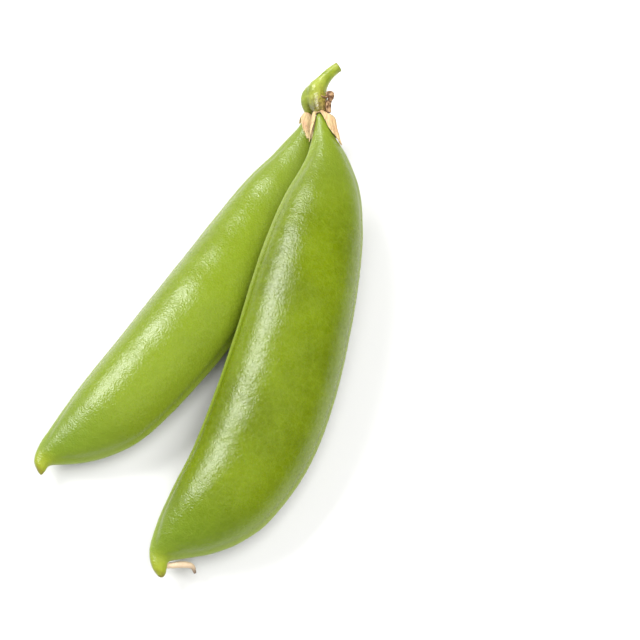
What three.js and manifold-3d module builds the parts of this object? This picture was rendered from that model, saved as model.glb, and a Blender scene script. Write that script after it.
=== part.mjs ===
// A pair of sugar snap pea pods, picked with the short stalk that they grew on, lying on a
// table. Millimetres, +Z up. +X runs to the right and +Y towards the stalk. The left pod lies
// on the table; the right one lies beside it, its stalk end propped on the left pod's flank.
import * as THREE from 'three';
import { mergeVertices } from 'three/addons/utils/BufferGeometryUtils.js';
import Module from 'manifold-3d';

// Where the middle of the pair's outline lies, measured from the root of the right pod's neck.
const MIDDLE = { x: -18.69, y: -33.24 };

// Each pod is measured along the straight line from its neck to the tip of its beak.
// back and belly are its two edges as seen from above, as [distance along, distance across],
// where across is positive to the right. height is the middle of its thickness above the
// table, and flatness is its thickness divided by its width. roll lifts the back edge.
const POD_RIGHT = {
  neck: { x: 0, y: 0 },
  heading: -108.2,
  length: 79,
  back: [[0, -0.7], [3, 0], [6, 0.6], [9, 0.6], [15, -0.4], [20, -0.85], [27, -0.95], [38, -0.6],
    [48, -0.55], [58, -0.95], [66, -2], [71, -2.45], [75, -2.4], [77, -1.9], [78.2, -1.05], [79, -0.3]],
  belly: [[0, 0.8], [3, 3.3], [6, 6.4], [10, 9.5], [15, 11.8], [22, 13.8], [30, 15.3], [40, 16.55],
    [50, 16.85], [58, 15.85], [66, 13.1], [70, 10.2], [73, 6.6], [75, 2.9], [76.2, 0.9], [77.4, 0.9],
    [79, 1.2]],
  height: [[0, 9.95], [8, 9.8], [18, 9.6], [30, 9.3], [45, 7.7], [58, 6.1], [66, 5.5], [72, 4.8],
    [79, 3.9]],
  flatness: [[0, 1], [4, 0.66], [14, 0.62], [28, 0.68], [45, 0.72], [66, 0.7], [76, 0.6], [79, 0.7]],
  roll: [[0, 4], [10, 8], [26, 8], [45, 6], [60, 4], [79, 0]],
  peas: { first: 14, pitch: 8.1, count: 7 },
};
const POD_LEFT = {
  neck: { x: -1.6, y: 1.3 },
  heading: -125,
  length: 72.8,
  back: [[0, -0.8], [3, -0.6], [8, -1.1], [14, -2.15], [22, -2.4], [35, -2.3], [48, -2.4], [58, -2.65],
    [66, -2.5], [70, -2.35], [71.6, -1.8], [72.8, -0.4]],
  belly: [[0, 0.9], [3, 3.1], [6, 5.2], [10, 7], [16, 8.4], [22, 9.7], [30, 11.3], [38, 12.2],
    [46, 11.9], [54, 11], [60, 9.6], [64, 7.4], [67, 4.9], [69.5, 2], [70.8, 0.6], [72, 0.6], [72.8, 0.9]],
  height: [[0, 5.9], [6, 4.95], [12, 4.4], [20, 4.3], [28, 4.8], [36, 5.3], [50, 5.1], [60, 4.6],
    [68, 3.8], [72.8, 3.3]],
  flatness: [[0, 1], [4, 0.7], [14, 0.62], [26, 0.68], [40, 0.72], [60, 0.7], [70, 0.6], [72.8, 0.7]],
  roll: [[0, 2], [10, -1], [28, -2], [48, 0], [72.8, 2]],
  peas: { first: 13, pitch: 7.6, count: 7 },
};
// How far a pea lifts the pod's side.
const PEA_SWELL = 0.12;
// The ridge along each edge: its height, its half width in degrees, and the pod's half width
// below which it grows lower.
const SEAM = { height: 0.3, width: 13, full: 4 };
// Length over which each end of a pod rounds off.
const END_ROUND = 1.1;
// How deep the skin is pressed flat where it lies on the table.
const TOUCH = 0.25;
const POD_FACES = { along: 50, round: 24 };

// A dried calyx: a collar round the pod's neck whose edge runs out into pointed sepals that
// lie on the pod's shoulder. angle is counted round the pod, from its belly edge upwards, and
// half is the sepal's half width, both in degrees. length is measured from the collar's edge,
// and stand is how far the sepal's root stands off the pod.
const COLLAR = { start: 0.2, end: 0.8, clear: 0.44, wall: 0.6 };
// On the pod's sloping shoulder, which is reached at from, lift and wall grow by this share.
const SHOULDER = { from: 3, share: 0.45 };
// Below 1 the sepals are blunt, at 1 they run straight to a point.
const SEPAL_SHAPE = 0.7;
const SEPALS_RIGHT = [
  { angle: 12, half: 50, length: 3.8, stand: 1 }, { angle: 168, half: 20, length: 4.6, stand: 0 },
  { angle: 258, half: 26, length: 0.5, stand: 0 }, { angle: 308, half: 28, length: 2.4, stand: 0 },
];
const SEPALS_LEFT = [
  { angle: 88, half: 44, length: 3.2, stand: 0 }, { angle: 180, half: 30, length: 1.6, stand: 0 },
  { angle: 244, half: 30, length: 2.6, stand: 0 }, { angle: 304, half: 30, length: 1.8, stand: 0 },
];
const CALYX_FACES = { along: 12, round: 40 };

// The stalk and its two lobes, each a path of [x, y, z, radius].
const STALK = [[3.12, 7.95, 10.6, 0.88], [2.3, 7.45, 10.4, 0.88], [1.2, 6.55, 10.1, 0.98],
  [0.3, 5.5, 9.7, 1.2], [-0.35, 4.6, 9.3, 1.6], [-0.6, 3.7, 8.9, 1.65]];
const LOBE_RIGHT = [[-0.3, 4.8, 9.2, 1.2], [-0.15, 3.4, 9.3, 1.35], [-0.05, 1.8, 9.5, 1.2],
  [0.15, 0.5, 9.62, 0.96]];
const LOBE_LEFT = [[-0.6, 4.9, 8.8, 1.3], [-1.5, 3.9, 8, 1.45], [-1.65, 2.9, 7.2, 1.3],
  [-1.6, 2.5, 6.8, 1], [-1.5, 2.1, 6.4, 0.72]];
// The flesh that fills the fork between the lobes.
const FORK = [[-0.5, 4, 8.8, 1.5], [-0.6, 2.9, 8.7, 1.3], [-0.6, 2.1, 8.6, 0.85]];
// The dried bud beside the right lobe.
const BUD = [[1.5, 3.4, 10.3, 0.25], [1.95, 3.1, 10.2, 0.5], [2.05, 2.5, 10, 0.42],
  [1.85, 1.6, 9.9, 0.33], [1.85, 0.75, 9.8, 0.25]];
// The dried style, from the belly side of the right pod's beak.
const STYLE = [[-22, -73.35, 3.4, 0.48], [-21.2, -73.3, 3.2, 0.48], [-20.1, -73.35, 2.9, 0.42],
  [-19.3, -73.6, 2.5, 0.36], [-19, -74.4, 2.2, 0.3]];
const STALK_FACES = { along: 14, round: 12 };
const STYLE_FACES = { along: 12, round: 8 };
const BUD_FACES = { along: 8, round: 8 };

// A smooth curve through a list of [place, value].
function smooth(points, at) {
  const last = points.length - 1;
  let i = 0;
  while (i < last - 1 && at > points[i + 1][0]) i += 1;
  const slope = (k) => {
    const low = points[Math.max(k - 1, 0)];
    const high = points[Math.min(k + 1, last)];
    return (high[1] - low[1]) / (high[0] - low[0]);
  };
  const [x0, y0] = points[i];
  const [x1, y1] = points[i + 1];
  const span = x1 - x0;
  const t = THREE.MathUtils.clamp((at - x0) / span, 0, 1);
  const rise = t * t * (3 - 2 * t);
  return y0 + (y1 - y0) * rise
    + span * t * (1 - t) * ((1 - t) * slope(i) - t * slope(i + 1));
}

// How much of its full section a pod has at a distance along it: its ends are rounded.
function endRound(pod, along) {
  const inside = Math.min(along, pod.length - along) / END_ROUND;
  return inside >= 1 ? 1 : Math.sqrt(Math.max(0, 1 - (1 - inside) ** 2));
}

// The point of a pod's surface at a distance along it and an angle round it, raised by lift.
function podPoint(pod, along, angle, lift = 0) {
  const back = smooth(pod.back, along);
  const belly = smooth(pod.belly, along);
  const roll = THREE.MathUtils.degToRad(smooth(pod.roll, along));
  const flatness = smooth(pod.flatness, along);
  const seen = (belly - back) / 2 * endRound(pod, along);
  const halfWidth = seen / Math.hypot(Math.cos(roll), flatness * Math.sin(roll));
  const halfThick = halfWidth * flatness;
  const { first, pitch, count } = pod.peas;
  const pea = THREE.MathUtils.clamp((along - first) / pitch, -0.5, count - 0.5);
  const swell = PEA_SWELL * Math.cos(Math.PI * pea) ** 2;
  const fromEdge = THREE.MathUtils.radToDeg(Math.asin(Math.abs(Math.sin(angle))));
  const seam = SEAM.height * Math.exp(-((fromEdge / SEAM.width) ** 2))
    * Math.min(1, halfWidth / SEAM.full);
  const across = (halfWidth + lift + seam) * Math.cos(angle);
  const up = (halfThick + lift + swell) * Math.sin(angle);
  const heading = THREE.MathUtils.degToRad(pod.heading);
  const side = (back + belly) / 2 + across * Math.cos(roll) + up * Math.sin(roll);
  return new THREE.Vector3(
    pod.neck.x + along * Math.cos(heading) - side * Math.sin(heading),
    pod.neck.y + along * Math.sin(heading) + side * Math.cos(heading),
    smooth(pod.height, along) - across * Math.sin(roll) + up * Math.cos(roll),
  );
}

// Moves every vertex of a closed geometry to place(u, v), and turns its faces outwards.
function mapped(geometry, place) {
  const { position, uv } = geometry.attributes;
  for (let i = 0; i < position.count; i += 1) {
    position.setXYZ(i, ...place(uv.getX(i), uv.getY(i)).toArray());
  }
  geometry.deleteAttribute('normal');
  geometry.deleteAttribute('uv');
  return outward(mergeVertices(geometry, 1e-4));
}

function outward(geometry) {
  const { position } = geometry.attributes;
  const index = geometry.index.array;
  const [a, b, c] = [new THREE.Vector3(), new THREE.Vector3(), new THREE.Vector3()];
  let volume = 0;
  for (let i = 0; i < index.length; i += 3) {
    a.fromBufferAttribute(position, index[i]);
    b.fromBufferAttribute(position, index[i + 1]);
    c.fromBufferAttribute(position, index[i + 2]);
    volume += a.dot(b.cross(c));
  }
  if (volume < 0) index.reverse();
  geometry.computeVertexNormals();
  return geometry;
}

// A pod: a ball drawn out along the pod, closely ringed towards its ends.
function podGeometry(pod) {
  const ball = new THREE.SphereGeometry(1, POD_FACES.round, POD_FACES.along);
  return mapped(ball, (u, v) => {
    const even = 1 - v;
    const along = pod.length * (even + (1 - Math.cos(Math.PI * even)) / 2) / 2;
    const point = podPoint(pod, along, 2 * Math.PI * u);
    point.z = Math.max(point.z - TOUCH, 0);
    return point;
  });
}

// A calyx: a ring whose section runs out along the outside to the edge and back along the inside.
function calyxGeometry(pod, sepals) {
  const ring = new THREE.TorusGeometry(1, 0.5, CALYX_FACES.along, CALYX_FACES.round);
  return mapped(ring, (u, v) => {
    const angle = 2 * Math.PI * u;
    const step = Math.round(v * CALYX_FACES.along) % CALYX_FACES.along;
    const turnBack = CALYX_FACES.along / 2;
    const outside = step < turnBack;
    const reach = (outside ? step : CALYX_FACES.along - 1 - step) / (turnBack - 1);
    let edge = COLLAR.end;
    let stand = 0;
    for (const sepal of sepals) {
      const turn = Math.abs(((u * 360 - sepal.angle + 540) % 360) - 180) / sepal.half;
      const share = Math.max(0, 1 - turn) ** SEPAL_SHAPE;
      edge = Math.max(edge, COLLAR.end + sepal.length * share);
      stand = Math.max(stand, sepal.stand * share * (1 - reach));
    }
    const along = COLLAR.start + (edge - COLLAR.start) * reach;
    const slope = 1 + SHOULDER.share * Math.min(1, along / SHOULDER.from);
    const lift = (COLLAR.clear + (outside ? COLLAR.wall : 0)) * slope + stand;
    const point = podPoint(pod, along, angle, lift);
    point.z -= TOUCH;
    return point;
  });
}

// A tapering limb along a path of [x, y, z, radius]. Its first and last rings close flat.
function limbGeometry(path, { along: rings, round }) {
  const curve = new THREE.CatmullRomCurve3(path.map(([x, y, z]) => new THREE.Vector3(x, y, z)));
  const steps = rings - 2;
  const frames = curve.computeFrenetFrames(steps);
  const radii = path.map((point, k) => [k / (path.length - 1), point[3]]);
  const ball = new THREE.SphereGeometry(1, round, rings);
  return mapped(ball, (u, v) => {
    const ring = Math.round((1 - v) * rings);
    const pole = ring === 0 || ring === rings;
    const step = THREE.MathUtils.clamp(ring - 1, 0, steps);
    const at = step / steps;
    const radius = pole ? 0 : smooth(radii, at);
    const point = curve.getPoint(at);
    point.addScaledVector(frames.normals[step], radius * Math.cos(2 * Math.PI * u));
    point.addScaledVector(frames.binormals[step], radius * Math.sin(2 * Math.PI * u));
    return point;
  });
}

// Joins closed geometries into one.
const wasm = await Module();
wasm.setup();
function joined(geometries) {
  const solids = geometries.map((geometry) => new wasm.Manifold(new wasm.Mesh({
    numProp: 3,
    vertProperties: new Float32Array(geometry.attributes.position.array),
    triVerts: new Uint32Array(geometry.index.array),
  })));
  const mesh = solids.reduce((whole, solid) => whole.add(solid)).getMesh();
  const geometry = new THREE.BufferGeometry();
  geometry.setAttribute('position', new THREE.BufferAttribute(mesh.vertProperties, 3));
  geometry.setIndex(new THREE.BufferAttribute(mesh.triVerts, 1));
  geometry.computeVertexNormals();
  return geometry;
}

const podSkin = new THREE.MeshStandardMaterial({ color: 0x8fac35, roughness: 0.38 });
const stalkSkin = new THREE.MeshStandardMaterial({ color: 0xa5b93c, roughness: 0.4 });
const driedCalyx = new THREE.MeshStandardMaterial({ color: 0xe1c38c, roughness: 0.8 });
const driedStyle = new THREE.MeshStandardMaterial({ color: 0xe1c8aa, roughness: 0.8 });
const driedBud = new THREE.MeshStandardMaterial({ color: 0xa07850, roughness: 0.85 });

const pair = new THREE.Group();
function add(name, geometry, material) {
  const mesh = new THREE.Mesh(geometry, material);
  mesh.name = name;
  mesh.position.set(-MIDDLE.x, -MIDDLE.y, 0);
  pair.add(mesh);
}
add('pod_right', podGeometry(POD_RIGHT), podSkin);
add('pod_left', podGeometry(POD_LEFT), podSkin);
const limbs = [STALK, LOBE_RIGHT, LOBE_LEFT, FORK].map((path) => limbGeometry(path, STALK_FACES));
add('stalk', joined(limbs), stalkSkin);
add('calyx_right', calyxGeometry(POD_RIGHT, SEPALS_RIGHT), driedCalyx);
add('calyx_left', calyxGeometry(POD_LEFT, SEPALS_LEFT), driedCalyx);
add('style_right', limbGeometry(STYLE, STYLE_FACES), driedStyle);
add('dried_bud', limbGeometry(BUD, BUD_FACES), driedBud);

export default pair;
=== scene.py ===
# A pair of sugar snap pea pods on the short stalk that they grew on, lying on a pale table.
# Sizes are in millimetres until a mesh is made, which turns them to metres.
import math

import bpy
import numpy as np
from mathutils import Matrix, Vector


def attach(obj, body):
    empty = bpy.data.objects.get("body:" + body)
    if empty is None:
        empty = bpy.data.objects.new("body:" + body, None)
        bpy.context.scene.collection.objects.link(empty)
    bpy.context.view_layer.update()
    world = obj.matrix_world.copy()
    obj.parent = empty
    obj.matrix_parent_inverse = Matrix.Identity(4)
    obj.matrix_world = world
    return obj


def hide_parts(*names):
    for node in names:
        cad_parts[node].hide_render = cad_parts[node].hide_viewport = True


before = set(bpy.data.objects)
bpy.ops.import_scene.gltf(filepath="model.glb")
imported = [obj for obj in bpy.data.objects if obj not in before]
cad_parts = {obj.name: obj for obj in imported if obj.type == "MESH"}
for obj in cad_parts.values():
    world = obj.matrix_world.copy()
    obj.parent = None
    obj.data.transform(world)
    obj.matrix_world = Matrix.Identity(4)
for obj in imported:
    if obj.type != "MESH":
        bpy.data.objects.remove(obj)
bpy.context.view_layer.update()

MM = 0.001


# The pods.
# Each is one plump green shell, closed round its peas. It grew in two halves that meet in a
# seam along the back, which carried the peas, and in a finer one along the belly. The skin is
# waxy and finely dimpled, and the peas inside lift its sides a little.

# Where the middle of the pair lies, measured from the root of the right pod's neck.
MIDDLE = (-18.69, -33.24)
# back and belly are a pod's edges seen from above, as (distance along, distance across). height
# is the middle of its thickness, flatness its thickness over its width, and roll lifts the back.
POD_RIGHT = {
    "neck": (0, 0), "heading": -108.2, "length": 79,
    "back": [(0, -0.7), (3, 0), (6, 0.6), (9, 0.6), (15, -0.4), (20, -0.85), (27, -0.95), (38, -0.6),
             (48, -0.55), (58, -0.95), (66, -2), (71, -2.45), (75, -2.4), (77, -1.9), (78.2, -1.05),
             (79, -0.3)],
    "belly": [(0, 0.8), (3, 3.3), (6, 6.4), (10, 9.5), (15, 11.8), (22, 13.8), (30, 15.3), (40, 16.55),
              (50, 16.85), (58, 15.85), (66, 13.1), (70, 10.2), (73, 6.6), (75, 2.9), (76.2, 0.9),
              (77.4, 0.9), (79, 1.2)],
    "height": [(0, 9.95), (8, 9.8), (18, 9.6), (30, 9.3), (45, 7.7), (58, 6.1), (66, 5.5), (72, 4.8),
               (79, 3.9)],
    "flatness": [(0, 1), (4, 0.66), (14, 0.62), (28, 0.68), (45, 0.72), (66, 0.7), (76, 0.6), (79, 0.7)],
    "roll": [(0, 4), (10, 8), (26, 8), (45, 6), (60, 4), (79, 0)],
    "first_pea": 14, "pea_pitch": 8.1, "peas": 7, "pale": 0,
}
POD_LEFT = {
    "neck": (-1.6, 1.3), "heading": -125, "length": 72.8,
    "back": [(0, -0.8), (3, -0.6), (8, -1.1), (14, -2.15), (22, -2.4), (35, -2.3), (48, -2.4), (58, -2.65),
             (66, -2.5), (70, -2.35), (71.6, -1.8), (72.8, -0.4)],
    "belly": [(0, 0.9), (3, 3.1), (6, 5.2), (10, 7), (16, 8.4), (22, 9.7), (30, 11.3), (38, 12.2),
              (46, 11.9), (54, 11), (60, 9.6), (64, 7.4), (67, 4.9), (69.5, 2), (70.8, 0.6), (72, 0.6),
              (72.8, 0.9)],
    "height": [(0, 5.9), (6, 4.95), (12, 4.4), (20, 4.3), (28, 4.8), (36, 5.3), (50, 5.1), (60, 4.6),
               (68, 3.8), (72.8, 3.3)],
    "flatness": [(0, 1), (4, 0.7), (14, 0.62), (26, 0.68), (40, 0.72), (60, 0.7), (70, 0.6), (72.8, 0.7)],
    "roll": [(0, 2), (10, -1), (28, -2), (48, 0), (72.8, 2)],
    "first_pea": 13, "pea_pitch": 7.6, "peas": 7, "pale": 1,
}
END_ROUND = 1.1      # length over which each end of a pod rounds off
TOUCH = 0.25         # how deep the skin is pressed flat where it lies on the table
RINGS, ROUND = 360, 160
SEAM_CROWDING = 0.25  # how far points are drawn round towards the seams, in radians


def smooth(points, at):
    """A smooth curve through a list of (place, value), at each of the places asked for."""
    x, y = np.array(points, float).T
    slope = np.array([(y[min(k + 1, len(x) - 1)] - y[max(k - 1, 0)])
                      / (x[min(k + 1, len(x) - 1)] - x[max(k - 1, 0)]) for k in range(len(x))])
    i = np.clip(np.searchsorted(x, at) - 1, 0, len(x) - 2)
    span = x[i + 1] - x[i]
    t = np.clip((at - x[i]) / span, 0, 1)
    bend = span * t * (1 - t) * ((1 - t) * slope[i] - t * slope[i + 1])
    return y[i] + (y[i + 1] - y[i]) * t * t * (3 - 2 * t) + bend


def pod_section(pod, along):
    """A pod's half width and half thickness, and its middle line's place across, along it."""
    back, belly = smooth(pod["back"], along), smooth(pod["belly"], along)
    roll, flatness = np.radians(smooth(pod["roll"], along)), smooth(pod["flatness"], along)
    inside = np.clip(np.minimum(along, pod["length"] - along) / END_ROUND, 0, 1)
    seen = (belly - back) / 2 * np.sqrt(1 - (1 - inside) ** 2)
    half_width = seen / np.hypot(np.cos(roll), flatness * np.sin(roll))
    return half_width, half_width * flatness, (back + belly) / 2, roll


def pod_points(pod, along, angle, lift=0.0):
    """Points of a pod's smooth skin, raised by lift. angle runs from the belly edge upwards."""
    half_width, half_thick, middle, roll = pod_section(pod, along)
    across = (half_width + lift) * np.cos(angle)
    up = (half_thick + lift) * np.sin(angle)
    heading = math.radians(pod["heading"])
    side = middle + across * np.cos(roll) + up * np.sin(roll)
    x = pod["neck"][0] - MIDDLE[0] + along * math.cos(heading) - side * math.sin(heading)
    y = pod["neck"][1] - MIDDLE[1] + along * math.sin(heading) + side * math.cos(heading)
    z = smooth(pod["height"], along) - across * np.sin(roll) + up * np.cos(roll) - TOUCH
    return np.stack([x, y, z], axis=-1)


def mesh_object(name, points, faces, **attributes):
    """An object at the origin from points in millimetres, with a number at each point."""
    mesh = bpy.data.meshes.new(name)
    mesh.from_pydata((np.asarray(points) * MM).tolist(), [], faces)
    for label, values in attributes.items():
        layer = mesh.attributes.new(label, "FLOAT", "POINT")
        layer.data.foreach_set("value", np.asarray(values, np.float32))
    mesh.shade_smooth()
    made = bpy.data.objects.new(name, mesh)
    bpy.context.collection.objects.link(made)
    return made


def band_faces(bands, rows, columns):
    """Faces between each row of points and the next, wound so that they face outwards."""
    return [(k * columns + j, k * columns + (j + 1) % columns,
             (k + 1) % rows * columns + (j + 1) % columns, (k + 1) % rows * columns + j)
            for k in range(bands) for j in range(columns)]


def pod_object(name, pod):
    """The smooth pod as rings, closer together at its ends, and closer round it at its seams."""
    even = np.arange(1, RINGS) / RINGS
    rings = pod["length"] * (even + (1 - np.cos(np.pi * even)) / 2) / 2
    turn = np.arange(ROUND) / ROUND
    angles = 2 * np.pi * turn - SEAM_CROWDING * np.sin(4 * np.pi * turn)
    along, angle = [grid.ravel() for grid in np.meshgrid(rings, angles, indexing="ij")]
    ends = np.array([0.0, pod["length"]])
    along, angle = np.append(along, ends), np.append(angle, [0, 0])
    sides = band_faces(RINGS - 2, RINGS - 1, ROUND)
    neck, tip = (RINGS - 1) * ROUND, (RINGS - 1) * ROUND + 1
    last = (RINGS - 2) * ROUND
    caps = [(neck, (j + 1) % ROUND, j) for j in range(ROUND)]
    caps += [(tip, last + j, last + (j + 1) % ROUND) for j in range(ROUND)]
    half_thick = pod_section(pod, along)[1]
    from_belly = half_thick * np.abs(np.angle(np.exp(1j * angle)))
    from_back = half_thick * np.abs(np.angle(np.exp(1j * (angle - np.pi))))
    return mesh_object(
        name, pod_points(pod, along, angle), sides + caps,
        along=along, to_tip=pod["length"] - along, from_belly=from_belly, from_back=from_back,
        upward=np.sin(angle), pale=np.full(along.shape, pod["pale"]),
    )


class Wire:
    """A node's output. Arithmetic on it adds Math nodes."""

    def __init__(self, tree, socket):
        self.tree, self.socket = tree, socket

    def math(self, operation, *values):
        inputs = dict(enumerate((self,) + values))
        return self.tree.add("ShaderNodeMath", {"operation": operation}, inputs)

    def __add__(self, other):
        return self.math("ADD", other)

    def __radd__(self, other):
        return self.math("ADD", other)

    def __sub__(self, other):
        return self.math("SUBTRACT", other)

    def __rsub__(self, other):
        return self.math("MULTIPLY_ADD", -1.0, other)

    def __mul__(self, other):
        return self.math("MULTIPLY", other)

    def __truediv__(self, other):
        return self.math("DIVIDE", other)

    def bell(self, width):
        """1 where this is 0, falling away over width."""
        share = self / width
        return (share * share * -1.0).math("EXPONENT")

    def step(self, low, high):
        """0 below low, 1 above high, and smooth between them."""
        settings = {"interpolation_type": "SMOOTHSTEP"}
        return self.tree.add("ShaderNodeMapRange", settings, {0: self, 1: low, 2: high, 3: 0.0, 4: 1.0})


class Tree:
    """A node tree that is filled one node at a time."""

    def __init__(self, tree):
        self.tree = tree

    def add(self, kind, settings=None, inputs=None, out=0):
        node = self.tree.nodes.new(kind)
        for name, value in (settings or {}).items():
            setattr(node, name, value)
        for key, value in (inputs or {}).items():
            if isinstance(value, Wire):
                self.tree.links.new(value.socket, node.inputs[key])
            else:
                node.inputs[key].default_value = value
        return Wire(self, node.outputs[out]) if node.outputs else node

    def noise(self, size, detail=2.0, seed=0.0, rough=0.5):
        """Cloudy noise from 0 to 1 whose blobs are about size millimetres across."""
        place = self.add("ShaderNodeTexCoord", out="Object")
        scale = [1 / (size * MM)] * 3
        moved = self.add("ShaderNodeVectorMath", {"operation": "MULTIPLY_ADD"},
                         {0: place, 1: scale, 2: (seed, seed * 0.7, seed * 1.3)})
        return self.add("ShaderNodeTexNoise", None,
                        {"Vector": moved, "Scale": 1.0, "Detail": detail, "Roughness": rough})

    def cloud(self, place, size, seed, unit=MM):
        """Noise from -0.5 to 0.5 with blobs of a size that is itself an input."""
        scaled = self.add("ShaderNodeVectorMath", {"operation": "SCALE"},
                          {0: place, "Scale": (size * unit).math("POWER", -1.0)})
        wave = self.add("ShaderNodeTexNoise", {"noise_dimensions": "4D"},
                        {"Vector": scaled, "W": seed, "Scale": 1.0, "Detail": 2.0})
        return wave - 0.5

    def near(self, place, width):
        """1 at a place measured from the right pod's neck, falling away over width millimetres."""
        point = tuple((a - b) * MM for a, b in zip(place, (*MIDDLE, 0)))
        away = self.add("ShaderNodeVectorMath", {"operation": "DISTANCE"},
                        {0: self.add("ShaderNodeTexCoord", out="Object"), 1: point}, out="Value")
        return away.bell(width * MM)

    def mix(self, share, first, second):
        """A colour from first to second."""
        settings = {"data_type": "RGBA", "clamp_factor": True}
        return self.add("ShaderNodeMix", settings, {0: share, 6: first, 7: second}, out=2)

    def attribute(self, name):
        return self.add("ShaderNodeAttribute", {"attribute_name": name}, out="Fac")


def colour(red, green, blue):
    """A screen colour, 0 to 255, as the linear colour that a shader takes."""
    channels = [c / 255 for c in (red, green, blue)]
    return tuple(c / 12.92 if c <= 0.04045 else ((c + 0.055) / 1.055) ** 2.4 for c in channels) + (1.0,)


def new_material(name):
    """An empty material: its tree and a function that finishes it."""
    material = bpy.data.materials.new(name)
    material.use_nodes = True
    material.node_tree.nodes.clear()
    tree = Tree(material.node_tree)

    def finish(**sockets):
        values = {label.replace("_", " "): value for label, value in sockets.items()}
        surface = tree.add("ShaderNodeBsdfPrincipled", None, values)
        tree.add("ShaderNodeOutputMaterial", None, {"Surface": surface})
        return material

    return tree, finish


def pod_skin():
    """Waxy green skin: clouded, greyer at the ends, paler at the seams (partly painted bounce light), with
    faint veins.
    """
    tree, finish = new_material("pod_skin")
    along, to_tip = tree.attribute("along"), tree.attribute("to_tip")
    from_back, from_belly = tree.attribute("from_back"), tree.attribute("from_belly")
    clouds = tree.noise(11, 3, seed=3.1).step(0.36, 0.66)
    skin = tree.mix(clouds, colour(92, 108, 0), colour(82, 97, 0))
    skin = tree.mix(tree.attribute("pale") * 0.6, skin, colour(112, 130, 34))
    patches = tree.noise(3.2, 4, seed=7.7, rough=0.62).step(0.45, 0.75)
    skin = tree.mix(patches * 0.35, skin, colour(106, 124, 14))
    near_neck = 1 - along.step(3.0, 24.0)
    skin = tree.mix(near_neck * 0.6, skin, colour(106, 124, 37))
    near_tip = 1 - to_tip.step(3.0, 17.0)
    skin = tree.mix(near_tip * 0.75, skin, colour(88, 110, 30))
    # Paler band along both seams: partly the seams' own tone, partly painted bounce light on the pod's
    # edges.
    seam_band_and_painted_bounce = from_back.bell(2.0) * 0.8 + from_belly.bell(2.2)
    skin = tree.mix(seam_band_and_painted_bounce * 0.6, skin, colour(114, 130, 34))
    veins = tree.add("ShaderNodeTexVoronoi", {"feature": "DISTANCE_TO_EDGE"}, {
        "Vector": tree.add("ShaderNodeTexCoord", out="Object"), "Scale": 1 / (1.5 * MM)})
    vein_lines = 1 - veins.step(0.0, 0.16)
    skin = tree.mix(vein_lines * 0.10, skin, colour(122, 140, 49))
    specks = tree.noise(0.3, 1, seed=1.9).step(0.56, 0.74)
    skin = tree.mix(specks * 0.15, skin, colour(124, 142, 52))
    seam_line = from_back.bell(0.5) + from_belly.bell(0.45) * 0.8
    skin = tree.mix(seam_line * 0.7, skin, colour(135, 150, 73))
    beak = 1 - to_tip.step(0.8, 4.0)
    skin = tree.mix(beak * 0.8, skin, colour(129, 137, 31))
    dry = (1 - to_tip.step(0.2, 1.1)) * tree.noise(0.6, 2, seed=5.5).step(0.3, 0.5)
    skin = tree.mix(dry * 0.75, skin, colour(106, 92, 44))
    grain = tree.noise(0.27, 2, seed=2.7)
    lumps = tree.noise(1.2, 2, seed=8.4)
    relief = grain + lumps * 1.2
    bump = tree.add("ShaderNodeBump", None, {"Strength": 1.0, "Distance": 0.07 * MM, "Height": relief})
    dull = near_neck * 0.07 + near_tip * 0.06
    gloss = 0.21 + tree.noise(0.8, 3, seed=6.0) * 0.12 + dull
    return finish(
        Base_Color=skin, Roughness=gloss, Normal=bump, IOR=1.48, Subsurface_Weight=0.12,
        Subsurface_Radius=(0.5, 0.9, 0.2), Subsurface_Scale=1.2 * MM,
    )


def relief_tree(name, numbers):
    """A Geometry Nodes tree that moves skin along its normals: its inputs, by name, and an end."""
    group = bpy.data.node_groups.new(name, "GeometryNodeTree")
    sockets = {"Geometry": group.interface.new_socket("Geometry", in_out="INPUT",
                                                       socket_type="NodeSocketGeometry")}
    for label, default in numbers.items():
        sockets[label] = group.interface.new_socket(label, in_out="INPUT",
                                                    socket_type="NodeSocketFloat")
        sockets[label].default_value = default
    sockets["Material"] = group.interface.new_socket("Material", in_out="INPUT",
                                                     socket_type="NodeSocketMaterial")
    group.interface.new_socket("Geometry", in_out="OUTPUT", socket_type="NodeSocketGeometry")
    tree = Tree(group)
    start = group.nodes.new("NodeGroupInput")
    inputs = {label: Wire(tree, start.outputs[label]) for label in sockets}
    inputs["position"] = tree.add("GeometryNodeInputPosition")

    def end(lift, geometry=None):
        normal = tree.add("GeometryNodeInputNormal")
        push = tree.add("ShaderNodeVectorMath", {"operation": "SCALE"}, {0: normal, "Scale": lift * MM})
        moved = tree.add("ShaderNodeVectorMath", {"operation": "ADD"}, {0: inputs["position"], 1: push})
        above = tree.add("ShaderNodeVectorMath", {"operation": "MAXIMUM"}, {0: moved, 1: (-1, -1, 0)})
        skin = tree.add("GeometryNodeSetPosition", None,
                        {"Geometry": geometry or inputs["Geometry"], "Position": above})
        whole = tree.add("GeometryNodeRealizeInstances", None, {"Geometry": skin})
        painted = tree.add("GeometryNodeSetMaterial", None,
                           {"Geometry": whole, "Material": inputs["Material"]})
        tree.add("NodeGroupOutput", None, {"Geometry": painted})

    return group, {label: socket.identifier for label, socket in sockets.items()}, tree, inputs, end


def named(tree, attribute):
    """A number that the mesh holds at each point."""
    return tree.add("GeometryNodeInputNamedAttribute", {"data_type": "FLOAT"}, {"Name": attribute})


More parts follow.
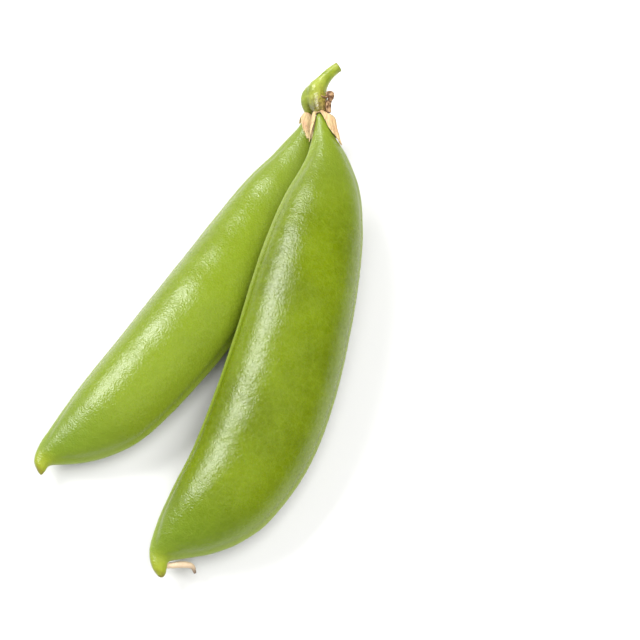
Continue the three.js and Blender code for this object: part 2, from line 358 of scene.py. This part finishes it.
def applied(piece, group, identifiers, material, **values):
    """Runs a tree on a piece and keeps the result as its plain mesh."""
    modifier = piece.modifiers.new(group.name, "NODES")
    modifier.node_group = group
    modifier[identifiers["Material"]] = material
    for label, value in values.items():
        modifier[identifiers[label.replace("_", " ")]] = float(value)
    bpy.context.view_layer.update()
    graph = bpy.context.evaluated_depsgraph_get()
    mesh = bpy.data.meshes.new_from_object(piece.evaluated_get(graph), depsgraph=graph)
    mesh.name = piece.name
    piece.modifiers.clear()
    mesh.shade_smooth()
    if piece.type == "MESH":
        piece.data = mesh
        return piece
    name = piece.name
    bpy.data.objects.remove(piece)
    made = bpy.data.objects.new(name, mesh)
    bpy.context.collection.objects.link(made)
    return made


def pod_relief():
    """Lifts the skin over the peas and along the seams, and ripples it."""
    group, identifiers, tree, inputs, end = relief_tree("pod_relief", {
        "First pea": 14, "Pea pitch": 8, "Peas": 7, "Pea lift": 0.12, "Seam lift": 0.3,
        "Seam width": 0.5, "Groove depth": 0.12, "Groove place": 1.1, "Ripple lift": 0.16,
        "Ripple size": 5, "Seed": 1})
    last = inputs["Peas"] - 0.5
    place = (named(tree, "along") - inputs["First pea"]) / inputs["Pea pitch"]
    place = place.math("MAXIMUM", -0.5).math("MINIMUM", last)
    wave = (place * math.pi).math("COSINE")
    upward = named(tree, "upward").math("ABSOLUTE")
    peas = inputs["Pea lift"] * wave * wave * upward
    back, belly = named(tree, "from_back"), named(tree, "from_belly")
    inside = named(tree, "along").step(1.5, 6.0) * named(tree, "to_tip").step(1.0, 5.0)
    ridge = back.bell(inputs["Seam width"]) + belly.bell(inputs["Seam width"]) * 0.8
    beside = (back - inputs["Groove place"]).bell(0.5) + (belly - inputs["Groove place"]).bell(0.5) * 0.7
    seams = ridge * inputs["Seam lift"] - beside * inputs["Groove depth"]
    ripple = tree.cloud(inputs["position"], inputs["Ripple size"], inputs["Seed"])
    end(peas + seams * inside + ripple * inputs["Ripple lift"])
    return group, identifiers


pod_material = pod_skin()
relief, relief_inputs = pod_relief()
for name, pod, seed in (("pod_right", POD_RIGHT, 4), ("pod_left", POD_LEFT, 9)):
    shell = applied(
        pod_object(name + "_shell", pod), relief, relief_inputs, pod_material,
        First_pea=pod["first_pea"], Pea_pitch=pod["pea_pitch"], Peas=pod["peas"], Seed=seed,
    )
    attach(shell, "root")
    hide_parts(name)


# The stalk.
# A short green fruit stalk, cut at its top end. It swells and forks into two fleshy lobes, one
# at the root of each pod, which grew together with it and hold it to the pods.

# Each limb is a path of (x, y, height, radius), measured from the root of the right pod's neck.
STALK = [(3.12, 7.95, 10.6, 0.88), (2.3, 7.45, 10.4, 0.88), (1.2, 6.55, 10.1, 0.98),
         (0.3, 5.5, 9.7, 1.2), (-0.35, 4.6, 9.3, 1.6), (-0.6, 3.6, 8.9, 1.6), (-0.6, 2.6, 8.9, 1.35),
         (-0.55, 1.7, 8.9, 1.15), (-0.5, 0.9, 8.8, 0.8)]
LOBE_RIGHT = [(-0.3, 4.8, 9.2, 1.2), (-0.15, 3.4, 9.2, 1.4), (-0.1, 1.8, 9.4, 1.3),
              (0.12, 0.1, 9.6, 1.02)]
LOBE_LEFT = [(-0.6, 4.9, 8.8, 1.3), (-1.5, 3.9, 8, 1.5), (-1.68, 3, 7.3, 1.4),
             (-1.65, 2.2, 6.7, 1.05), (-1.5, 1.5, 6.2, 0.72)]
LIMB_POINTS, LIMB_SIDES = 60, 32


def curve_object(name, paths):
    """An object at the origin with a curve along each path, which carries the path's radius."""
    curve = bpy.data.curves.new(name, "CURVE")
    curve.dimensions = "3D"
    at = np.linspace(0, 1, LIMB_POINTS)
    for path in paths:
        place = np.linspace(0, 1, len(path))
        x, y, z, radius = [smooth(list(zip(place, values)), at) for values in zip(*path)]
        spline = curve.splines.new("POLY")
        spline.points.add(LIMB_POINTS - 1)
        row = np.stack([(x - MIDDLE[0]) * MM, (y - MIDDLE[1]) * MM, z * MM, np.ones(LIMB_POINTS)], -1)
        spline.points.foreach_set("co", row.ravel())
        spline.points.foreach_set("radius", radius)
    made = bpy.data.objects.new(name, curve)
    bpy.context.collection.objects.link(made)
    return made


def limb_relief():
    """Grows flesh round the curves, joins it where they meet, and wrinkles it lengthwise."""
    group, identifiers, tree, inputs, end = relief_tree("limb", {
        "Voxel": 0.07, "Soften": 16, "Wrinkle lift": 0.1, "Wrinkle size": 1.2, "Crumple lift": 0.0,
        "Crumple size": 0.4, "Seed": 1})
    radius = tree.add("GeometryNodeInputRadius")
    circle = tree.add("GeometryNodeCurvePrimitiveCircle", {"mode": "RADIUS"},
                      {"Resolution": LIMB_SIDES, "Radius": MM})
    flesh = tree.add("GeometryNodeCurveToMesh", None, {
        "Curve": inputs["Geometry"], "Profile Curve": circle, "Scale": radius, "Fill Caps": True})
    voxel = inputs["Voxel"] * MM
    cloud = tree.add("GeometryNodeMeshToVolume", {"resolution_mode": "VOXEL_SIZE"}, {
        "Mesh": flesh, "Density": 1.0, "Voxel Size": voxel, "Interior Band Width": voxel * 3.0})
    skin = tree.add("GeometryNodeVolumeToMesh", {"resolution_mode": "VOXEL_SIZE"}, {
        "Volume": cloud, "Voxel Size": voxel, "Threshold": 0.1})
    blurred = tree.add("GeometryNodeBlurAttribute", {"data_type": "FLOAT_VECTOR"},
                       {"Value": inputs["position"], "Iterations": inputs["Soften"]})
    skin = tree.add("GeometryNodeSetPosition", None, {"Geometry": skin, "Position": blurred})
    lift = tree.cloud(inputs["position"], inputs["Wrinkle size"], inputs["Seed"]) * inputs["Wrinkle lift"]
    crumple = tree.cloud(inputs["position"], inputs["Crumple size"], inputs["Seed"] + 5.0)
    end(lift + crumple * inputs["Crumple lift"], skin)
    return group, identifiers


def stalk_skin():
    """Fresh yellow-green, browner on the right lobe, dark in the fork (partly painted shade in the
    crease), with a dry cut end.
    """
    tree, finish = new_material("stalk_skin")
    skin = tree.mix(tree.noise(1.6, 3, seed=4.4).step(0.35, 0.65), colour(112, 126, 30),
                    colour(138, 148, 52))
    ochre = tree.near((0.9, 1.6, 10.4), 2.0) * (0.6 + tree.noise(0.8, 3, seed=2.0) * 0.6)
    skin = tree.mix(ochre, skin, colour(132, 122, 42))
    skin = tree.mix(tree.near((1.0, 0.6, 10.2), 1.5), skin, colour(142, 118, 72))
    scars = tree.near((1.0, 1.6, 10.4), 2.1) * tree.noise(0.4, 3, seed=1.2).step(0.48, 0.6)
    skin = tree.mix(scars * 0.9, skin, colour(88, 66, 32))
    # Dark olive in the fork between the lobes: partly its own mottled tone, partly painted shade in the
    # crease.
    mottle = 0.4 + tree.noise(0.4, 3, seed=6.6).step(0.42, 0.58) * 0.6
    dark = (tree.near((-0.4, 0.5, 9.9), 1.5) + tree.near((-1.2, 1.4, 8.2), 1.1)) * mottle
    skin = tree.mix(dark, skin, colour(72, 66, 24))
    skin = tree.mix(tree.near((3.35, 8.1, 10.6), 0.75), skin, colour(136, 120, 80))
    streaks = tree.noise(0.45, 3, seed=9.1)
    bump = tree.add("ShaderNodeBump", None, {"Strength": 1.0, "Distance": 0.12 * MM, "Height": streaks})
    gloss = 0.31 + tree.near((-1.7, 3.0, 8.3), 1.5) * 0.4
    return finish(Base_Color=skin, Roughness=gloss, Normal=bump, IOR=1.5, Subsurface_Weight=0.15,
                  Subsurface_Radius=(0.5, 0.8, 0.15), Subsurface_Scale=0.8 * MM)


limb, limb_inputs = limb_relief()
stalk = applied(curve_object("stalk_flesh", [STALK, LOBE_RIGHT, LOBE_LEFT]), limb, limb_inputs,
                stalk_skin(), Soften=30, Seed=3)
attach(stalk, "root")
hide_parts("stalk")


# The dried calyxes.
# The flower's sepals, dried to thin tan paper, stay as a torn crown round the root of each pod.
# They grow from the end of the stalk's lobe and lie loosely on the pod's shoulder.

# Each sepal: where it stands round the pod, in degrees from the belly edge upwards, and its half
# width; its length from the collar's edge; how far its root stands off the pod, how much its tip
# lifts, and how many degrees its tip leans round.
SEPALS_RIGHT = [(20, 72, 4.1, 1.7, 0.0, -8), (172, 26, 5.4, 0.3, 0.1, 0), (258, 26, 1.3, 0, 0.2, 0),
                (308, 28, 2.9, 0, 0.2, 0)]
SEPALS_LEFT = [(102, 66, 3.6, 0.5, 0.25, -36), (196, 24, 1.2, 0.1, 0.2, 0), (244, 30, 3.1, 0, 0.1, 0),
               (304, 30, 2.3, 0, 0.1, 0)]
COLLAR_START = -0.45
PAPER = 0.12         # the paper's thickness
CLEAR = 0.14         # how far the paper stays off the skin
ROOT_REACH = 0.9     # over what length the wider root narrows to that
STAND_REACH = 0.6    # over what length a sepal's root comes to stand off the pod
CROWN_ROWS, CROWN_COLUMNS = 60, 420


def crown_object(name, pod, sepals, collar_end, root, seed):
    """Thin paper round a pod's root: rows run out along its outside and back along its inside."""
    dice = np.random.default_rng(seed)
    turn = 2 * np.pi * np.arange(CROWN_COLUMNS) / CROWN_COLUMNS
    edge = np.full_like(turn, collar_end)
    stand, curl, lean = np.zeros((3, CROWN_COLUMNS))
    for angle, half, length, away, lifted, leaning in sepals:
        off = np.abs((np.degrees(turn) - angle + 540) % 360 - 180) / half
        petal = np.clip(1 - off ** 1.3, 0, 1) ** 0.8
        edge = np.maximum(edge, collar_end + length * petal)
        stand, curl = np.maximum(stand, away * petal), np.maximum(curl, lifted * petal)
        lean += np.radians(leaning) * petal
    for waves in (9, 17, 31, 53):
        edge += 0.18 / waves ** 0.6 * np.sin(waves * turn + dice.uniform(0, 6.3)) * edge
    down = np.linspace(0, 1, CROWN_ROWS)[:, None]
    along = COLLAR_START + (edge - COLLAR_START) * down
    from_start = along - COLLAR_START
    clear = CLEAR + (root - CLEAR) * np.exp(-((from_start / ROOT_REACH) ** 2))
    clear = clear + stand * (1 - down) * np.clip(from_start / STAND_REACH, 0, 1)
    folds = sum(np.sin(waves * turn + dice.uniform(0, 6.3)) * 0.5 for waves in (5, 8, 13))
    clear = clear + 0.1 * np.clip(along, 0, 3) + curl * down ** 2 + 0.14 * folds * down
    paper = PAPER * (1 - 0.6 * down ** 4)
    angle = turn + lean * down ** 2
    outside = pod_points(pod, along, angle, clear + paper)
    inside = pod_points(pod, along, angle, clear)[::-1]
    points = np.concatenate([outside, inside]).reshape(-1, 3)
    rows = 2 * CROWN_ROWS
    faces = band_faces(rows, rows, CROWN_COLUMNS)
    out_and_back = np.concatenate([along, along[::-1]]).ravel()
    share = np.broadcast_to(down, along.shape)
    share = np.concatenate([share, share[::-1]]).ravel()
    both = np.concatenate([angle, angle]).ravel()
    return mesh_object(name, points, faces, along=out_and_back, share=share, east=np.cos(both),
                       north=np.sin(both))


def paper_place(tree, attribute):
    """Where a point lies on the crown: round it, twice, and along it."""
    return tree.add("ShaderNodeCombineXYZ", None, {
        0: attribute("east") * 2.4, 1: attribute("north") * 2.4, 2: attribute("along") * 0.16})


def crown_relief():
    """Raises the paper's lengthwise fibres and crumples it."""
    group, identifiers, tree, inputs, end = relief_tree("crown", {
        "Fibre lift": 0.08, "Fibre size": 0.16, "Crumple lift": 0.2, "Crumple size": 0.8, "Seed": 1})
    place = paper_place(tree, lambda label: named(tree, label))
    fibres = tree.cloud(place, inputs["Fibre size"], inputs["Seed"], 1.0)
    crumple = tree.cloud(inputs["position"], inputs["Crumple size"], inputs["Seed"])
    end(fibres * inputs["Fibre lift"] + crumple * inputs["Crumple lift"] * named(tree, "share"))
    return group, identifiers


def dried_paper():
    """Tan paper: lengthwise fibres, pinkish and brown patches, a pale yellow edge."""
    tree, finish = new_material("dried_calyx")
    place = paper_place(tree, tree.attribute)
    share = tree.attribute("share")
    tone = tree.mix(tree.noise(1.3, 3, seed=5.0).step(0.36, 0.62), colour(188, 166, 120),
                    colour(186, 152, 114))
    tone = tree.mix(share.step(0.6, 1.0) * 0.5, tone, colour(196, 178, 128))
    tone = tree.mix((1 - share.step(0.0, 0.3)) * 0.55, tone, colour(146, 112, 68))
    fibres = tree.add("ShaderNodeTexNoise", None, {"Vector": place, "Scale": 7.0, "Detail": 3.0})
    tone = tree.mix((1 - fibres.step(0.36, 0.52)) * 0.55, tone, colour(126, 92, 52))
    stain = tree.noise(0.7, 3, seed=8.0).step(0.6, 0.76)
    tone = tree.mix(stain * 0.5, tone, colour(104, 74, 42))
    bump = tree.add("ShaderNodeBump", None, {"Strength": 1.0, "Distance": 0.06 * MM, "Height": fibres})
    return finish(Base_Color=tone, Roughness=0.62, Normal=bump, Subsurface_Weight=0.2,
                  Subsurface_Radius=(0.5, 0.35, 0.2), Subsurface_Scale=0.3 * MM)


crown, crown_inputs = crown_relief()
paper_material = dried_paper()
for name, pod, sepals, collar, seed in (
        ("calyx_right", POD_RIGHT, SEPALS_RIGHT, (0.0, 0.6), 5),
        ("calyx_left", POD_LEFT, SEPALS_LEFT, (0.3, 0.95), 8)):
    calyx = applied(crown_object(name + "_paper", pod, sepals, *collar, seed), crown, crown_inputs,
                    paper_material, Seed=seed)
    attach(calyx, "root")
    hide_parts(name)


# The dried bud.
# A crumpled brown remnant on the stalk's right lobe, where another flower withered. It stays
# stuck to the lobe and trails down its right side.
BUD = [(1.0, 3.3, 10.3, 0.2), (1.5, 3.1, 10.35, 0.42), (1.78, 2.8, 10.2, 0.5),
       (1.5, 2.1, 10.0, 0.4), (1.3, 1.2, 9.95, 0.45), (1.4, 0.1, 9.8, 0.4)]
BUD_CURLS = [
    [(0.2, 2.75, 10.7, 0.1), (0.6, 2.45, 10.75, 0.15), (1.05, 2.55, 10.6, 0.2),
     (1.5, 2.8, 10.4, 0.25)],
    [(0.9, 3.3, 10.4, 0.1), (1.35, 3.5, 10.6, 0.16), (1.85, 3.4, 10.4, 0.26), (2.0, 2.9, 10.2, 0.3)],
    [(0.85, 2.0, 10.65, 0.1), (1.1, 1.4, 10.55, 0.16), (1.0, 0.7, 10.4, 0.14), (1.1, 0.2, 10.3, 0.1)],
]


def dried_husk():
    tree, finish = new_material("dried_bud")
    tone = tree.mix(tree.noise(0.5, 3, seed=3.3).step(0.38, 0.62), colour(84, 58, 34),
                    colour(158, 126, 90))
    bump = tree.add("ShaderNodeBump", None, {"Strength": 1.0, "Distance": 0.08 * MM,
                                             "Height": tree.noise(0.3, 3, seed=1.0)})
    return finish(Base_Color=tone, Roughness=0.6, Normal=bump)


bud = applied(curve_object("dried_bud_husk", [BUD, *BUD_CURLS]), limb, limb_inputs, dried_husk(),
              Voxel=0.04, Soften=3, Crumple_lift=0.3, Crumple_size=0.45, Seed=7)
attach(bud, "root")
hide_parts("dried_bud")


# The dried style.
# The thread that stood on the flower's ovary, dried cream coloured with a darker tip. It is
# still fixed to the belly side of the right pod's beak.
STYLE = [(-23.35, -73.25, 3.4, 0.42), (-22.2, -73.15, 3.4, 0.5), (-21.2, -73.0, 3.2, 0.52),
         (-20.1, -72.95, 2.9, 0.5), (-19.4, -73.2, 2.5, 0.38), (-19.05, -74.1, 2.2, 0.2)]


def dried_thread():
    tree, finish = new_material("dried_style")
    tone = tree.mix(tree.noise(0.5, 2, seed=6.2), colour(204, 182, 148), colour(182, 160, 136))
    tone = tree.mix(tree.near((-19.05, -74.1, 2.2), 0.95), tone, colour(92, 76, 64))
    bump = tree.add("ShaderNodeBump", None, {"Strength": 1.0, "Distance": 0.05 * MM,
                                             "Height": tree.noise(0.25, 3, seed=1.0)})
    return finish(Base_Color=tone, Roughness=0.65, Normal=bump)


style = applied(curve_object("style_right_thread", [STYLE]), limb, limb_inputs, dried_thread(),
                Voxel=0.04, Soften=3, Crumple_lift=0.16, Crumple_size=0.5, Seed=2)
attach(style, "root")
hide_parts("style_right")


# The table, the light and the camera.
# A pale table top, a soft window light from the upper left, a wide lamp overhead that fills the
# shadows, and a pale sky round them. Of the three, only the window is mirrored in the skin.
TABLE_HALF = 700
CAMERA_UP = 68.0                 # degrees above the table
CAMERA_FAR = 480.0
LOOK_AT = (18.69, -0.7, 6.0)
PICTURE = 640                    # pixels each way
PIXELS_PER_MM = 6.4              # at the point looked at
SENSOR = 36.0


def table_top():
    tree, finish = new_material("table_top")
    tone = tree.mix(tree.noise(60, 2), colour(205, 205, 204), colour(201, 201, 200))
    return finish(Base_Color=tone, Roughness=0.75)


half = TABLE_HALF
table = mesh_object("table", [(-half, -half, 0), (half, -half, 0), (half, half, 0), (-half, half, 0)],
                    [(0, 1, 2, 3)])
table.data.materials.append(table_top())


def area_light(name, place, size, power):
    """A soft rectangular light that faces the pods."""
    data = bpy.data.lights.new(name, "AREA")
    data.shape = "RECTANGLE"
    data.size, data.size_y = size[0] * MM, size[1] * MM
    data.energy = power
    lamp = bpy.data.objects.new(name, data)
    lamp.location = Vector(place) * MM
    lamp.rotation_euler = Vector(place).to_track_quat("Z", "Y").to_euler()
    bpy.context.collection.objects.link(lamp)
    return lamp


area_light("window", (-560, 440, 700), (640, 330), 14.0)
ceiling = area_light("ceiling", (420, -260, 1250), (1500, 1500), 35.0)
ceiling.visible_glossy = False

world = bpy.data.worlds.new("sky")
bpy.context.scene.world = world
world.use_nodes = True
world.cycles_visibility.glossy = False
world.node_tree.nodes.clear()
sky = Tree(world.node_tree)
direction = sky.add("ShaderNodeTexCoord", out="Generated")
height = sky.add("ShaderNodeSeparateXYZ", None, {0: direction}, out=2)
tone = sky.mix(height.step(0.0, 0.75), (0.6, 0.6, 0.6, 1.0), (0.3, 0.3, 0.3, 1.0))
glow = sky.add("ShaderNodeBackground", None, {"Color": tone, "Strength": 1.0})
sky.add("ShaderNodeOutputWorld", None, {"Surface": glow})
bpy.context.scene.view_settings.view_transform = "Standard"

up = math.radians(CAMERA_UP)
view = Vector((0, math.cos(up), -math.sin(up)))
camera_data = bpy.data.cameras.new("camera")
camera_data.sensor_width = SENSOR
camera_data.lens = SENSOR * PIXELS_PER_MM * CAMERA_FAR / PICTURE
camera_data.clip_start = 10 * MM
camera = bpy.data.objects.new("camera", camera_data)
camera.location = (Vector(LOOK_AT) - view * CAMERA_FAR) * MM
camera.rotation_euler = view.to_track_quat("-Z", "Y").to_euler()
bpy.context.collection.objects.link(camera)
bpy.context.scene.camera = camera
